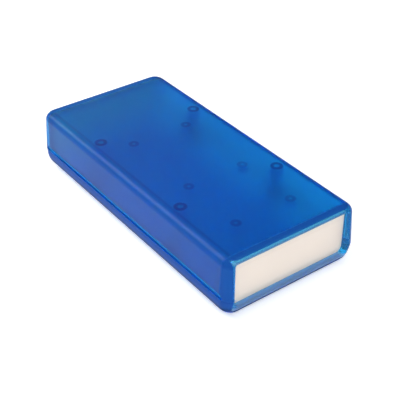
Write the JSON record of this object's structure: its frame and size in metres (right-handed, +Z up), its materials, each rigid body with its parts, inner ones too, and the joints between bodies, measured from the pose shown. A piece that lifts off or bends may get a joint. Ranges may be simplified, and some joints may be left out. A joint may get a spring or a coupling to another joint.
{
  "type": "direct injection box",
  "caption": "Hand-held translucent blue direct injection box housing with recessed cream end panels, screwed halves and circuit-board bosses",
  "frame": {"origin": "centre of the footprint, on the surface the case rests on", "axes": "X width, Y length with the front end at -Y, Z up"},
  "size_m": [0.0658, 0.1392, 0.028],
  "materials": {
    "blue_plastic": "translucent, finely frosted moulding",
    "cream_plastic": "fine spark-eroded texture",
    "screw_steel": "bright zinc plated"
  },
  "bodies": {
    "base": {"bottom_shell": "blue_plastic"},
    "lid": {"top_shell": "blue_plastic"},
    "front_panel": {"front_end_panel": "cream_plastic"},
    "rear_panel": {"rear_end_panel": "cream_plastic"},
    "screw_front_left": {"case_screw_front_left": "screw_steel"},
    "screw_front_right": {"case_screw_front_right": "screw_steel"},
    "screw_rear_left": {"case_screw_rear_left": "screw_steel"},
    "screw_rear_right": {"case_screw_rear_right": "screw_steel"}
  },
  "joints": [
    {"name": "lid_lift", "type": "slide", "parent": "base", "child": "lid", "axis": [0, 0, 1], "range_m": [0, 0.045]},
    {"name": "front_panel_lift", "type": "slide", "parent": "base", "child": "front_panel", "axis": [0, 0, 1], "range_m": [0, 0.0275]},
    {"name": "rear_panel_lift", "type": "slide", "parent": "base", "child": "rear_panel", "axis": [0, 0, 1], "range_m": [0, 0.0275]},
    {"name": "screw_turn_front_left", "type": "hinge", "parent": "base", "child": "screw_front_left", "pos_m": [-0.0247, -0.0286, 0.0066], "axis": [0, 0, 1], "continuous": true},
    {"name": "screw_turn_front_right", "type": "hinge", "parent": "base", "child": "screw_front_right", "pos_m": [0.0247, -0.0286, 0.0066], "axis": [0, 0, 1], "continuous": true},
    {"name": "screw_turn_rear_left", "type": "hinge", "parent": "base", "child": "screw_rear_left", "pos_m": [-0.0247, 0.0302, 0.0066], "axis": [0, 0, 1], "continuous": true},
    {"name": "screw_turn_rear_right", "type": "hinge", "parent": "base", "child": "screw_rear_right", "pos_m": [0.0247, 0.0302, 0.0066], "axis": [0, 0, 1], "continuous": true}
  ],
  "couplings": [
    {"joint": "front_panel_lift", "follows": "lid_lift", "ratio": 0.6},
    {"joint": "rear_panel_lift", "follows": "lid_lift", "ratio": 0.6}
  ]
}
